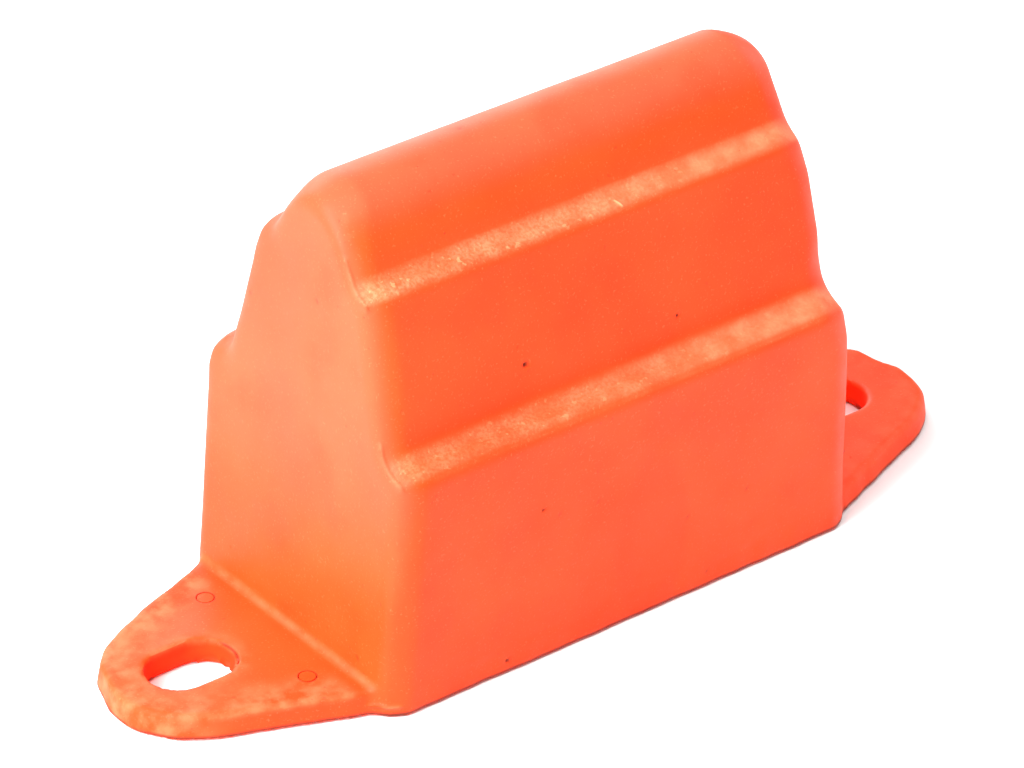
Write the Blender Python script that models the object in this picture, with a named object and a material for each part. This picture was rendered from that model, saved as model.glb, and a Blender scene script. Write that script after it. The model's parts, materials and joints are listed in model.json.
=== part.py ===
"""Bolt-down elastomer bump block with two slotted ears and a bonded steel insert.

The block is a tall bar with two ledges down each long side and a round crown.
A thin flange runs under it and comes out at both ends as an ear with a bolt slot.
A steel plate lies inside the flange, held in the mould by small spacer plugs
that show as discs on the ears. Frame: metres, +Z up, X along the block, the
origin in the middle of the underside.
"""

import math

import bmesh
import bpy

MM = 0.001

# Driving dimensions of the block
BLOCK_LENGTH = 120.0 * MM
HEIGHT = 102.2 * MM
CROWN_RADIUS = 11.0 * MM
CROWN_EDGE_RADIUS = 7.0 * MM
UPRIGHT_EDGE_RADIUS = 5.4 * MM
LEDGE_EDGE_RADIUS = 3.2 * MM
END_DRAFT_BELOW_LEDGE = 0.071
END_DRAFT_ABOVE_LEDGE = 0.049

# Corners of one long side, as half width and height, from the foot upwards,
# each with the radius that rounds it
FOOT = (33.1 * MM, 0.0)
LOWER_LEDGE_OUTER = (33.4 * MM, 53.4 * MM)
LOWER_LEDGE_INNER = (26.8 * MM, 54.2 * MM)
UPPER_LEDGE_OUTER = (19.1 * MM, 85.7 * MM)
UPPER_LEDGE_INNER = (14.9 * MM, 87.4 * MM)
LOWER_OUTER_RADIUS = 3.7 * MM
LOWER_INNER_RADIUS = 4.2 * MM
UPPER_OUTER_RADIUS = 3.4 * MM
UPPER_INNER_RADIUS = 4.8 * MM

# Driving dimensions of the flange and its ears
FLANGE_THICKNESS = 5.3 * MM
FLANGE_SIDE_DRAFT = 0.15
EAR_ROOT_HALF_WIDTH = 29.2 * MM
EAR_NOSE_RADIUS = 19.1 * MM
EAR_NOSE_CENTRE = 82.0 * MM
SLOT_WIDTH = 13.5 * MM
SLOT_INNER_END = 72.5 * MM
LEFT_SLOT_OUTER_END = 92.7 * MM
RIGHT_SLOT_OUTER_END = 88.0 * MM

# Steel insert and the spacer plugs that held it in the mould
INSERT_THICKNESS = 2.0 * MM
INSERT_EDGE_COVER = 4.0 * MM
SLOT_LINING = 2.25 * MM
ANCHOR_HOLE_RADIUS = 5.0 * MM
ANCHOR_HOLE_PITCH = 22.0 * MM
ANCHOR_HOLE_COUNT = 5
PLUG_RADIUS = 1.65 * MM
PLUG_X = 67.4 * MM
PLUG_Y = 16.8 * MM

# Room left between pieces that touch on the real object
GAP = 0.3 * MM

# Fineness of the rounded stretches
FILLET_STEPS = 5
CROWN_STEPS = 8
EDGE_STEPS = 5
NOSE_STEPS = 20
SLOT_STEPS = 12
HOLE_SEGMENTS = 32
PLUG_SEGMENTS = 24
UPRIGHT_PITCH = 6.0 * MM
LEDGE_BLEND = 7.0 * MM
SMOOTH_ANGLE = math.radians(30.0)

INSERT_BOTTOM = (FLANGE_THICKNESS - INSERT_THICKNESS) / 2.0
INSERT_TOP = INSERT_BOTTOM + INSERT_THICKNESS


def clear_scene():
    """Remove every object that the file opens with."""
    for thing in list(bpy.data.objects):
        bpy.data.objects.remove(thing, do_unlink=True)


def principled(name, color, roughness, metallic=0.0):
    """Make a material with one Principled BSDF."""
    material = bpy.data.materials.new(name)
    material.use_nodes = True
    shader = material.node_tree.nodes["Principled BSDF"]
    shader.inputs["Base Color"].default_value = (*color, 1.0)
    shader.inputs["Roughness"].default_value = roughness
    shader.inputs["Metallic"].default_value = metallic
    return material


def smoothstep(low, high, value):
    """Rise smoothly from 0 at low to 1 at high."""
    t = min(max((value - low) / (high - low), 0.0), 1.0)
    return t * t * (3.0 - 2.0 * t)


def add_object(name, mesh_data, material=None):
    """Turn a bmesh into an object with smooth round stretches and sharp corners."""
    bmesh.ops.recalc_face_normals(mesh_data, faces=mesh_data.faces)
    mesh = bpy.data.meshes.new(name)
    mesh_data.to_mesh(mesh)
    mesh_data.free()
    mesh.shade_smooth()
    mesh.set_sharp_from_angle(angle=SMOOTH_ANGLE)
    thing = bpy.data.objects.new(name, mesh)
    bpy.context.scene.collection.objects.link(thing)
    if material is not None:
        mesh.materials.append(material)
    return thing


def as_cutter(thing):
    """Hide a shape that only serves a Boolean."""
    thing.hide_render = True
    thing.display_type = "WIRE"
    return thing


def add_boolean(target, tool, operation):
    """Join a tool shape to a target, or cut it away."""
    modifier = target.modifiers.new(tool.name, "BOOLEAN")
    modifier.operation = operation
    modifier.solver = "EXACT"
    modifier.object = tool


# ---------------------------------------------------------------- block shape


def round_corner(before, corner, after, radius):
    """Points of the arc that rounds one corner of an outline."""
    back = (before[0] - corner[0], before[1] - corner[1])
    ahead = (after[0] - corner[0], after[1] - corner[1])
    back_length = math.hypot(*back)
    ahead_length = math.hypot(*ahead)
    back = (back[0] / back_length, back[1] / back_length)
    ahead = (ahead[0] / ahead_length, ahead[1] / ahead_length)
    half_angle = math.acos(back[0] * ahead[0] + back[1] * ahead[1]) / 2.0
    middle = (back[0] + ahead[0], back[1] + ahead[1])
    reach = radius / math.sin(half_angle) / math.hypot(*middle)
    centre = (corner[0] + middle[0] * reach, corner[1] + middle[1] * reach)
    tangent = radius / math.tan(half_angle)
    first = (corner[0] + back[0] * tangent, corner[1] + back[1] * tangent)
    last = (corner[0] + ahead[0] * tangent, corner[1] + ahead[1] * tangent)
    start = math.atan2(first[1] - centre[1], first[0] - centre[0])
    end = math.atan2(last[1] - centre[1], last[0] - centre[0])
    turn = (end - start + math.pi) % (2.0 * math.pi) - math.pi
    arc = []
    for step in range(FILLET_STEPS + 1):
        angle = start + turn * step / FILLET_STEPS
        arc.append((centre[0] + radius * math.cos(angle), centre[1] + radius * math.sin(angle)))
    return arc


def fill_long_stretches(points, pitch):
    """Add points so that no stretch of an outline is much longer than the pitch."""
    filled = [points[0]]
    for start, end in zip(points[:-1], points[1:]):
        pieces = max(1, round(math.dist(start, end) / pitch))
        for piece in range(1, pieces + 1):
            share = piece / pieces
            across = start[0] + (end[0] - start[0]) * share
            up = start[1] + (end[1] - start[1]) * share
            filled.append((across, up))
    return filled


def crown_point(angle):
    """Point of the round crown at an angle from level."""
    return (CROWN_RADIUS * math.cos(angle), HEIGHT - CROWN_RADIUS + CROWN_RADIUS * math.sin(angle))


def half_profile():
    """Half width and height along one long side, from the foot to the top of the crown."""
    across = UPPER_LEDGE_INNER[0]
    rise = UPPER_LEDGE_INNER[1] - (HEIGHT - CROWN_RADIUS)
    crown_start = math.atan2(rise, across) + math.acos(CROWN_RADIUS / math.hypot(across, rise))
    corners = [FOOT, LOWER_LEDGE_OUTER, LOWER_LEDGE_INNER, UPPER_LEDGE_OUTER, UPPER_LEDGE_INNER]
    corners.append(crown_point(crown_start))
    radii = [LOWER_OUTER_RADIUS, LOWER_INNER_RADIUS, UPPER_OUTER_RADIUS, UPPER_INNER_RADIUS]
    outline = [FOOT]
    for index, radius in enumerate(radii, start=1):
        outline += round_corner(corners[index - 1], corners[index], corners[index + 1], radius)
    for step in range(CROWN_STEPS + 1):
        angle = crown_start + (math.pi / 2.0 - crown_start) * step / CROWN_STEPS
        outline.append(crown_point(angle))
    return fill_long_stretches(outline, UPRIGHT_PITCH)


def edge_radius(height):
    """Radius of the rounded edge round an end face: small at the ledges, large elsewhere."""
    ledges = (
        (LOWER_LEDGE_OUTER[1], LOWER_LEDGE_INNER[1]),
        (UPPER_LEDGE_OUTER[1], UPPER_LEDGE_INNER[1]),
    )
    radius = UPRIGHT_EDGE_RADIUS
    for low, high in ledges:
        below = low - LOWER_OUTER_RADIUS
        above = high + UPPER_INNER_RADIUS
        distance = max(below - height, height - above, 0.0)
        radius = LEDGE_EDGE_RADIUS + (radius - LEDGE_EDGE_RADIUS) * smoothstep(0.0, LEDGE_BLEND, distance)
    share = smoothstep(HEIGHT - CROWN_RADIUS, HEIGHT, height)
    return radius + (CROWN_EDGE_RADIUS - radius) * share


def end_plane(height):
    """Half length of the block at a height, from the draft of its end faces."""
    ledge = LOWER_LEDGE_INNER[1]
    below = min(height, ledge)
    above = max(height - ledge, 0.0)
    return BLOCK_LENGTH / 2.0 - END_DRAFT_BELOW_LEDGE * below - END_DRAFT_ABOVE_LEDGE * above


def outward_normal(profile, index):
    """Unit vector pointing out of the profile at one of its points, as (across, up)."""
    if index == 0:
        return (1.0, 0.0)
    if index == len(profile) - 1:
        return (0.0, 1.0)
    ahead = profile[index + 1]
    behind = profile[index - 1]
    length = math.dist(ahead, behind)
    return ((ahead[1] - behind[1]) / length, (behind[0] - ahead[0]) / length)


def block_rows():
    """Rows of (x, y, z) on the +X, +Y quarter, from the long side round to the end face."""
    profile = half_profile()
    rows = []
    for step in range(EDGE_STEPS + 1):
        turn = math.pi / 2.0 * step / EDGE_STEPS
        row = []
        for index, (width, height) in enumerate(profile):
            across, up = outward_normal(profile, index)
            radius = edge_radius(height)
            inset = radius * (1.0 - math.cos(turn))
            y = width - across * inset
            z = height - up * inset
            x = end_plane(z) - radius * (1.0 - math.sin(turn))
            row.append((x, y, z))
        rows.append(row)
    return rows


def build_block():
    """Close the block's skin: long sides, rounded end edges, end faces and underside."""
    rows = block_rows()
    points = len(rows[0])
    mesh_data = bmesh.new()
    grid = {}
    for end in (-1, 1):
        for r, row in enumerate(rows):
            for i, (x, y, z) in enumerate(row):
                near = mesh_data.verts.new((end * x, -y, z))
                grid[end, -1, r, i] = near
                on_ridge = i == points - 1
                grid[end, 1, r, i] = near if on_ridge else mesh_data.verts.new((end * x, y, z))

    def add_face(*keys):
        corners = list(dict.fromkeys(grid[key] for key in keys))
        mesh_data.faces.new(corners)

    last_row = len(rows) - 1
    for i in range(points - 1):
        for side in (-1, 1):
            add_face((-1, side, 0, i), (1, side, 0, i), (1, side, 0, i + 1), (-1, side, 0, i + 1))
            for end in (-1, 1):
                for r in range(last_row):
                    add_face(
                        (end, side, r, i),
                        (end, side, r + 1, i),
                        (end, side, r + 1, i + 1),
                        (end, side, r, i + 1),
                    )
        for end in (-1, 1):
            add_face(
                (end, -1, last_row, i),
                (end, 1, last_row, i),
                (end, 1, last_row, i + 1),
                (end, -1, last_row, i + 1),
            )
    underside = [(1, 1, r, 0) for r in range(last_row + 1)]
    underside += [(1, -1, r, 0) for r in range(last_row, -1, -1)]
    underside += [(-1, -1, r, 0) for r in range(last_row + 1)]
    underside += [(-1, 1, r, 0) for r in range(last_row, -1, -1)]
    add_face(*underside)
    return mesh_data


# ------------------------------------------------------- outlines and plates


def nose_outline(root_half_width, nose_radius, nose_centre):
    """Outline of a flange that narrows from the block's ends to a round nose at each ear."""
    root = (BLOCK_LENGTH / 2.0, root_half_width)
    back = (root[0] - nose_centre, root[1])
    start = math.atan2(back[1], back[0]) - math.acos(nose_radius / math.hypot(*back))
    right_half = [root]
    for step in range(NOSE_STEPS + 1):
        angle = start - 2.0 * start * step / NOSE_STEPS
        right_half.append((nose_centre + nose_radius * math.cos(angle), nose_radius * math.sin(angle)))
    right_half.append((root[0], -root[1]))
    left_half = [(-x, -y) for x, y in right_half]
    return right_half + left_half


def slot_outline(centre, length, width):
    """Outline of a slot that runs along X with a half circle at each end."""
    radius = width / 2.0
    straight = (length - width) / 2.0
    outline = []
    for side in (1, -1):
        for step in range(SLOT_STEPS + 1):
            angle = side * math.pi / 2.0 - math.pi * step / SLOT_STEPS
            outline.append((centre + side * straight + radius * math.cos(angle), radius * math.sin(angle)))
    return outline


def circle_outline(x, y, radius, segments):
    """Outline of a round hole or plug."""
    turns = [2.0 * math.pi * step / segments for step in range(segments)]
    return [(x + radius * math.cos(turn), y + radius * math.sin(turn)) for turn in turns]


def add_prism(mesh_data, outline, low, high, top_outline=None):
    """Add a closed upright prism; the top outline may be a smaller one, for draft."""
    bottom = [mesh_data.verts.new((x, y, low)) for x, y in outline]
    top = [mesh_data.verts.new((x, y, high)) for x, y in (top_outline or outline)]
    mesh_data.faces.new(bottom)
    mesh_data.faces.new(top)
    for index in range(len(outline)):
        following = (index + 1) % len(outline)
        mesh_data.faces.new((bottom[index], bottom[following], top[following], top[index]))


def flange_blank():
    """The flange before its slots: its sides lean in a little towards the top."""
    lean = FLANGE_SIDE_DRAFT * FLANGE_THICKNESS
    mesh_data = bmesh.new()
    add_prism(
        mesh_data,
        nose_outline(EAR_ROOT_HALF_WIDTH, EAR_NOSE_RADIUS, EAR_NOSE_CENTRE),
        0.0,
        FLANGE_THICKNESS,
        nose_outline(EAR_ROOT_HALF_WIDTH - lean, EAR_NOSE_RADIUS - lean, EAR_NOSE_CENTRE),
    )
    return as_cutter(add_object("flange_blank", mesh_data))


def upright_cutter(name, outlines, low, high):
    """A cutter made of one prism for each outline."""
    mesh_data = bmesh.new()
    for outline in outlines:
        add_prism(mesh_data, outline, low, high)
    return as_cutter(add_object(name, mesh_data))


def slot_outlines(growth):
    """Both slots, grown all round."""
    width = SLOT_WIDTH + 2.0 * growth
    outlines = []
    for end, outer_end in ((-1, LEFT_SLOT_OUTER_END), (1, RIGHT_SLOT_OUTER_END)):
        centre = end * (SLOT_INNER_END + outer_end) / 2.0
        length = outer_end - SLOT_INNER_END + 2.0 * growth
        outlines.append(slot_outline(centre, length, width))
    return outlines


def anchor_hole_outlines(radius):
    """The row of holes under the block that the elastomer flows through."""
    first = -ANCHOR_HOLE_PITCH * (ANCHOR_HOLE_COUNT - 1) / 2.0
    centres = [first + ANCHOR_HOLE_PITCH * index for index in range(ANCHOR_HOLE_COUNT)]
    return [circle_outline(x, 0.0, radius, HOLE_SEGMENTS) for x in centres]


def add_insert_shape(name, growth, material=None):
    """The steel plate, or the pocket round it when it is grown by the gap."""
    mesh_data = bmesh.new()
    outline = nose_outline(
        EAR_ROOT_HALF_WIDTH - INSERT_EDGE_COVER + growth,
        EAR_NOSE_RADIUS - INSERT_EDGE_COVER + growth,
        EAR_NOSE_CENTRE,
    )
    add_prism(mesh_data, outline, INSERT_BOTTOM - growth, INSERT_TOP + growth)
    shape = add_object(name, mesh_data, material)
    openings = slot_outlines(SLOT_LINING - growth)
    openings += anchor_hole_outlines(ANCHOR_HOLE_RADIUS - growth)
    cutter = upright_cutter(name + "_openings", openings, -FLANGE_THICKNESS, 2.0 * FLANGE_THICKNESS)
    add_boolean(shape, cutter, "DIFFERENCE")
    return shape


# ---------------------------------------------------------------- the pieces


def plug_places():
    """Name and centre of each place where a spacer plug stands on the insert."""
    for end, end_name in ((-1, "left"), (1, "right")):
        for side, side_name in ((-1, "front"), (1, "back")):
            yield end_name + "_" + side_name, end * PLUG_X, side * PLUG_Y


def build_bump_body(material):
    """The moulding: block and flange in one, with its slots, pocket and plug holes."""
    body = add_object("bump_body", build_block(), material)
    add_boolean(body, flange_blank(), "UNION")
    over = FLANGE_THICKNESS
    slots = upright_cutter("slot_cutter", slot_outlines(0.0), -over, 2.0 * over)
    add_boolean(body, slots, "DIFFERENCE")
    add_boolean(body, as_cutter(add_insert_shape("insert_pocket", GAP)), "DIFFERENCE")
    holes = [circle_outline(x, y, PLUG_RADIUS + GAP, PLUG_SEGMENTS) for _, x, y in plug_places()]
    add_boolean(body, upright_cutter("plug_hole_cutter", holes, -over, 2.0 * over), "DIFFERENCE")


def build_plug(name, x, y, low, high, material):
    """A short round spacer between the insert and the skin of the ear."""
    mesh_data = bmesh.new()
    add_prism(mesh_data, circle_outline(x, y, PLUG_RADIUS, PLUG_SEGMENTS), low, high)
    add_object(name, mesh_data, material)


def build():
    """Make every piece."""
    clear_scene()
    elastomer = principled("orange_elastomer", (0.95, 0.13, 0.03), 0.42)
    spacer = principled("spacer_elastomer", (0.90, 0.15, 0.04), 0.50)
    steel = principled("insert_steel", (0.42, 0.42, 0.44), 0.45, 1.0)
    build_bump_body(elastomer)
    add_insert_shape("insert_plate", 0.0, steel)
    for place, x, y in plug_places():
        build_plug("top_plug_" + place, x, y, INSERT_TOP + GAP, FLANGE_THICKNESS, spacer)
        build_plug("bottom_plug_" + place, x, y, GAP, INSERT_BOTTOM - GAP, spacer)


build()
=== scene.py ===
"""Looks of the bolt-down elastomer bump block: a satin orange moulding with slotted ears.

The moulding is one closed skin. It starts as a coarse union of simple forms, is remeshed,
and every vertex is then drawn onto a smooth distance field: a stepped block with rounded
ends, a flange with a soft rim, a fillet in the crease between them, and the bolt slots.
Lengths inside the shape functions are in millimetres; Blender objects are in metres.
"""

import json
import math
import random

import bmesh
import bpy
import numpy as np
from mathutils import Matrix, Vector, noise


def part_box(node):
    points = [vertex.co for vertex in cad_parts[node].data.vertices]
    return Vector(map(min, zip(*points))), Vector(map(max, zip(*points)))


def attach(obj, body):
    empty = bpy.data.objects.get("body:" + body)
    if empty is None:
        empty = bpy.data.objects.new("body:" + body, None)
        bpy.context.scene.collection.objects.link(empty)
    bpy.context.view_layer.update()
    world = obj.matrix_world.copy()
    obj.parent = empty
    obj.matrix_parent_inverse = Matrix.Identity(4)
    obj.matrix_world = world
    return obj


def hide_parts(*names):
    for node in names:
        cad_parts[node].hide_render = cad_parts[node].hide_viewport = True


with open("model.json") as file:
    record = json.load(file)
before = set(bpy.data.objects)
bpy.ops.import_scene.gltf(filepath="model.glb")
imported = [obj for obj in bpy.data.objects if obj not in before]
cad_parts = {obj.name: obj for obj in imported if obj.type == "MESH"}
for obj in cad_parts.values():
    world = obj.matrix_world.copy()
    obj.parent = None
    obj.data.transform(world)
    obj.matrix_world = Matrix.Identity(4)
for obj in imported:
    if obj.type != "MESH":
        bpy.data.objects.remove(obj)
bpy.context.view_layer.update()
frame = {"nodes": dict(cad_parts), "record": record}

MM = 0.001

# ------------------------------------------------------------ sizes, from the frame


def box_mm(node):
    """Lowest and highest corner of a CAD node, in millimetres."""
    low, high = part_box(node)
    return np.array(low) / MM, np.array(high) / MM


BODY_HIGH = box_mm("bump_body")[1]
PLUG_NODES = sorted(name for name in frame["nodes"] if name.startswith("top_plug_"))
HIDDEN_PLUG_NODES = sorted(name for name in frame["nodes"] if name.startswith("bottom_plug_"))
MOUNTS = {mount["name"]: mount for mount in frame["record"]["mounts"]}

HEIGHT = BODY_HIGH[2]
FLANGE_THICKNESS = MOUNTS["right_ear_face"]["pos_m"][2] / MM
EAR_NOSE_RADIUS = 19.1
EAR_NOSE_CENTRE = BODY_HIGH[0] - EAR_NOSE_RADIUS

# The block, as part.py drives it
BLOCK_LENGTH = 120.0
CROWN_RADIUS = 11.0
CROWN_EDGE_RADIUS = 8.0
UPRIGHT_EDGE_RADIUS = 5.2
LEDGE_EDGE_RADIUS = 4.8
LEDGE_BLEND = 7.0
EDGE_FLAT_ANGLE = math.radians(28.0)
EDGE_FLAT_DEPTH = 0.3
EDGE_FLAT_BLEND = 0.8
END_DRAFT_BELOW_LEDGE = 0.071
END_DRAFT_ABOVE_LEDGE = 0.049

# Corners of one long side as half width, height and the radius that rounds the corner
FOOT = (33.1, 0.0)
LOWER_LEDGE = ((33.4, 53.4, 3.7), (26.8, 54.2, 4.2))
UPPER_LEDGE = ((19.1, 85.7, 3.4), (14.9, 87.4, 4.8))

# The flange
EAR_ROOT_HALF_WIDTH = 29.2
FLANGE_SIDE_DRAFT = 0.15
SLOT_RADIUS = 6.75
SLOT_INNER_END = 72.5
LEFT_SLOT_OUTER_END = 92.7
RIGHT_SLOT_OUTER_END = 88.0

# Where the casting departs from the even design: the right end is tucked in at its foot and
# rounder at its ledges, the slots narrow downwards, and the left one slants outwards
FOOT_TUCK = 1.4
FOOT_TUCK_HEIGHT = 45.0
RIGHT_LEDGE_EDGE_RADIUS = 6.7
SLOT_DRAFT = 0.1
SLOT_SLANT = 0.15
LEFT_SLOT_SHORTFALL = 1.3
RIGHT_SLOT_SKEW = -0.9

# Soft edges of the real moulding
RIM_RADIUS = 1.1
FOOT_RADIUS = 0.6
CREASE_RADIUS = 1.6
LIP_RADIUS = 0.55

# Fine raised line that the mould's left end plate leaves across the front ledges
SEAM_INSET = 0.7
SEAM_HALF_WIDTH = 0.34
SEAM_HEIGHT = 0.3
# Painted highlight along the seam's crest
SEAM_HIGHLIGHT = 0.8

# Raised flash line round the front left foot
FLASH_PLACE = (-59.2, -30.9, 2.3)
FLASH_REACH = 4.4
FLASH_HEIGHT = 0.5
FLASH_WEAR = 0.9

# Split in the skin beside the left slot
SPLIT_PLACE = (-74.2, -1.5, 5.0)
SPLIT_REACH = 5.0
SPLIT_OUTWARD_REACH = 2.5
SPLIT_OFFSET = 0.45
SPLIT_HALF_WIDTH = 0.26
SPLIT_DEPTH = 0.55

# Air pits in the skin as place, radius and depth, and how many smaller ones are scattered
PITS = (
    ((-21.4, -24.7, 63.1), 0.55, 0.50),
    ((-23.0, -33.3, 34.9), 0.35, 0.30),
    ((-31.0, -33.1, 2.9), 0.45, 0.35),
    ((16.1, -25.2, 60.7), 0.40, 0.35),
)
SCATTERED_PITS = 36
PIT_SEED = 11
SCATTERED_PIT_RADIUS = (0.14, 0.26)
SCATTERED_PIT_DEPTH = 0.7
SCATTERED_PIT_DIRT = 0.55
PIT_REACH = 1.1

# Painted highlight on the crown's left edge, and a fibre caught on the upper ledge, as both ends and
# half the width
CROWN_EDGE_HIGHLIGHT = ((-51.3, -6.9, 98.1), (-51.6, -9.3, 95.1), 0.9)
CROWN_EDGE_HIGHLIGHT_SHARE = 0.7
FIBRE = ((5.8, -17.2, 86.6), (6.6, -18.6, 85.7), 0.2)
FIBRE_HEIGHT = 0.25

# Pale wear of the ears. In each pair the wear is full up to the first distance and gone at the
# second: in from the rim, away from a slot's lip, away from the crease
RIM_WEAR_REACH = (2.0, 12.0)
LIP_WEAR_REACH = (0.5, 4.5)
LIP_WEAR = 0.6
CREASE_WEAR_REACH = (0.4, 1.7)
CREASE_WEAR = 0.55
RIGHT_EAR_WEAR = 0.35
RIGHT_EAR_SOIL = 0.12

# Distances past the end face over which the ears' wear sets in, and along the part over which
# it also takes in their upright sides
EAR_WEAR_START = (2.0, 6.0)
NOSE_WEAR_START = (86.0, 98.0)

# Painted highlight, a paler colour on the left end face as it rises over a range of heights, and
# along the crown
END_HIGHLIGHT = 0.13
END_HIGHLIGHT_HEIGHTS = (18.0, 55.0)
CROWN_TOP_HIGHLIGHT = 0.15

# Pale dust and a painted highlight at the left and right ends of the lower and the upper ledge, and
# on the back ones
LEDGE_DUST_AND_HIGHLIGHT = ((0.55, 1.0), (1.0, 0.95))
LEDGE_DUST_AND_HIGHLIGHT_RANGE = (-50.0, 50.0)
BACK_LEDGE_DUST_AND_HIGHLIGHT = 0.1

# The dust and the painted highlight are granular towards the left and even towards the right
GRANULAR_RANGE = (-30.0, 40.0)
GRANULAR_ON_RIGHT = 0.3

# Painted reflection, a faint darker patch low on the front
REFLECTION_PLACE = (5.0, -33.2, 17.0)
REFLECTION_HALF_WIDTH = 10.0
REFLECTION_HALF_HEIGHT = 22.0
REFLECTION_STRENGTH = 0.3

# Painted shade in the hollows above the ledges, and a painted contact shadow along the foot up to
# these heights
HOLLOW_HEIGHT = 2.4
HOLLOW_HALF_HEIGHT = 2.2
HOLLOW_SHADE = 0.25
CONTACT_SHADOW_HEIGHTS = (0.6, 1.2)

# Heights and lengths of the skin's waves, the grains on the ledges and the uneven sides
BROAD_WAVE = 0.10
BROAD_WAVE_LENGTH = 28.0
FINE_WAVE = 0.02
FINE_WAVE_LENGTH = 7.0
LEDGE_GRAIN = 0.05
LEDGE_GRAIN_LENGTH = 1.7
SIDE_ROUGHNESS = 0.25
SIDE_ROUGHNESS_LENGTH = 5.0

# Bumps and dents on the rims of the ears as place, reach and height
RIM_LUMPS = (
    ((96.0, 12.5), 4.5, 0.5),
    ((99.6, 5.0), 6.0, -1.9),
    ((101.0, -3.0), 9.0, -0.6),
    ((-80.0, 21.0), 16.0, 0.6),
    ((-99.5, 6.0), 7.0, -0.5),
    ((-99.5, -4.0), 7.0, 0.4),
)

# Colours of the skin, from plain to marked
SKIN_BASE = (0.95, 0.063, 0.008)
SKIN_DEEP = (0.94, 0.048, 0.004)
# Colour of the painted shade in the slots and hollows, also used for soil and the painted reflection
SKIN_SHADE = (0.90, 0.036, 0.002)
# Pale rubbed colour, also used for the painted highlights on the seam and the crown's left edge
SKIN_RUBBED_AND_HIGHLIGHT = (0.95, 0.130, 0.048)
# Pale dust colour, also used for the painted highlight on the ledges
SKIN_DUST_AND_HIGHLIGHT = (0.95, 0.190, 0.085)
# Dirt colour, also used for the painted contact shadow along the foot
SKIN_DIRT_AND_SHADOW = (0.16, 0.018, 0.006)
SKIN_SPECK = (0.95, 0.330, 0.150)
SKIN_SMUDGE = (0.78, 0.036, 0.004)
# Colour of the painted highlight on the left end face and the crown
SKIN_HIGHLIGHT = (0.95, 0.180, 0.140)

# Steel and floor, and the gloss that all materials share
STEEL_DARK = (0.30, 0.30, 0.31)
STEEL_BRIGHT = (0.46, 0.46, 0.47)
FLOOR_TONE = (0.85, 0.85, 0.85)
SPECULAR_LEVEL = 0.20

# Softening of the ledges' outer corners at the ends, less at the front left ones
CORNER_HALF_HEIGHT = 2.6
CORNER_REACH = 9.0
CORNER_ROUNDS = 24
FRONT_LEFT_CORNER_SHARE = 0.3

# Height below which everything beside the block belongs to the ears
EAR_TOP = FLANGE_THICKNESS + 0.5

# Mesh fineness
VOXEL = 0.8
SLOPE_STEP = 0.02
PROJECTION_ROUNDS = 4
RELAX_ROUNDS = 4
RELAX_STRENGTH = 0.5
FINE_CUTS = 3
SHARP_ANGLE = math.radians(55.0)
FILLET_STEPS = 8
CROWN_STEPS = 16
NOSE_STEPS = 24
SLOT_END_STEPS = 12

# Holes round the spacer plugs
PLUG_GAP = 0.19
PLUG_HOLE_DEPTH = 1.5
PLUG_HOLE_ABOVE = 4.7
PLUG_RING_WIDTH = 0.35
PLUG_RING_DIRT = 0.7
PLUG_STEPS = 40
PLUG_FINE_REACH = 3.4


def plug_hole(node):
    """Place, radius and top of the hole round one spacer plug."""
    low, high = box_mm(node)
    centre = (low + high) / 2.0
    return centre[0], centre[1], (high[0] - low[0]) / 2.0 + PLUG_GAP, high[2]


PLUG_HOLES = [plug_hole(name) for name in PLUG_NODES]

# ---------------------------------------------------------------- outline helpers


def round_corner(before, corner, after, radius):
    """Points of the arc that rounds one corner of an outline."""
    before, corner, after = (np.array(point[:2], dtype=float) for point in (before, corner, after))
    back = (before - corner) / np.linalg.norm(before - corner)
    ahead = (after - corner) / np.linalg.norm(after - corner)
    half_angle = math.acos(back @ ahead) / 2.0
    middle = (back + ahead) / np.linalg.norm(back + ahead)
    centre = corner + middle * radius / math.sin(half_angle)
    first = corner + back * radius / math.tan(half_angle) - centre
    last = corner + ahead * radius / math.tan(half_angle) - centre
    start = math.atan2(first[1], first[0])
    turn = (math.atan2(last[1], last[0]) - start + math.pi) % (2.0 * math.pi) - math.pi
    angles = start + turn * np.linspace(0.0, 1.0, FILLET_STEPS + 1)
    return centre + radius * np.column_stack([np.cos(angles), np.sin(angles)])


def half_profile():
    """Half width and height along one long side, from the foot to the top of the crown."""
    crown_centre = np.array([0.0, HEIGHT - CROWN_RADIUS])
    last_corner = np.array(UPPER_LEDGE[1][:2]) - crown_centre
    start = math.atan2(last_corner[1], last_corner[0])
    start += math.acos(CROWN_RADIUS / np.linalg.norm(last_corner))
    angles = np.linspace(start, math.pi / 2.0, CROWN_STEPS + 1)
    crown = crown_centre + CROWN_RADIUS * np.column_stack([np.cos(angles), np.sin(angles)])
    corners = [FOOT, *LOWER_LEDGE, *UPPER_LEDGE, tuple(crown[0])]
    pieces = [np.array([FOOT])]
    for index in range(1, len(corners) - 1):
        radius = corners[index][2]
        pieces.append(round_corner(corners[index - 1], corners[index], corners[index + 1], radius))
    return np.vstack([*pieces, crown])


def flange_quarter():
    """The flange's outline over +X, +Y, from the middle of its side to the tip of the nose."""
    root = np.array([BLOCK_LENGTH / 2.0 - EAR_NOSE_CENTRE, EAR_ROOT_HALF_WIDTH])
    start = math.atan2(root[1], root[0]) - math.acos(EAR_NOSE_RADIUS / np.linalg.norm(root))
    angles = np.linspace(start, 0.0, NOSE_STEPS + 1)
    nose = EAR_NOSE_RADIUS * np.column_stack([np.cos(angles), np.sin(angles)])
    nose[:, 0] += EAR_NOSE_CENTRE
    side = np.array([[0.0, EAR_ROOT_HALF_WIDTH], [BLOCK_LENGTH / 2.0, EAR_ROOT_HALF_WIDTH]])
    return np.vstack([side, nose])


PROFILE = half_profile()
FLANGE = flange_quarter()

# ------------------------------------------------------------------ distance field


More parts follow.
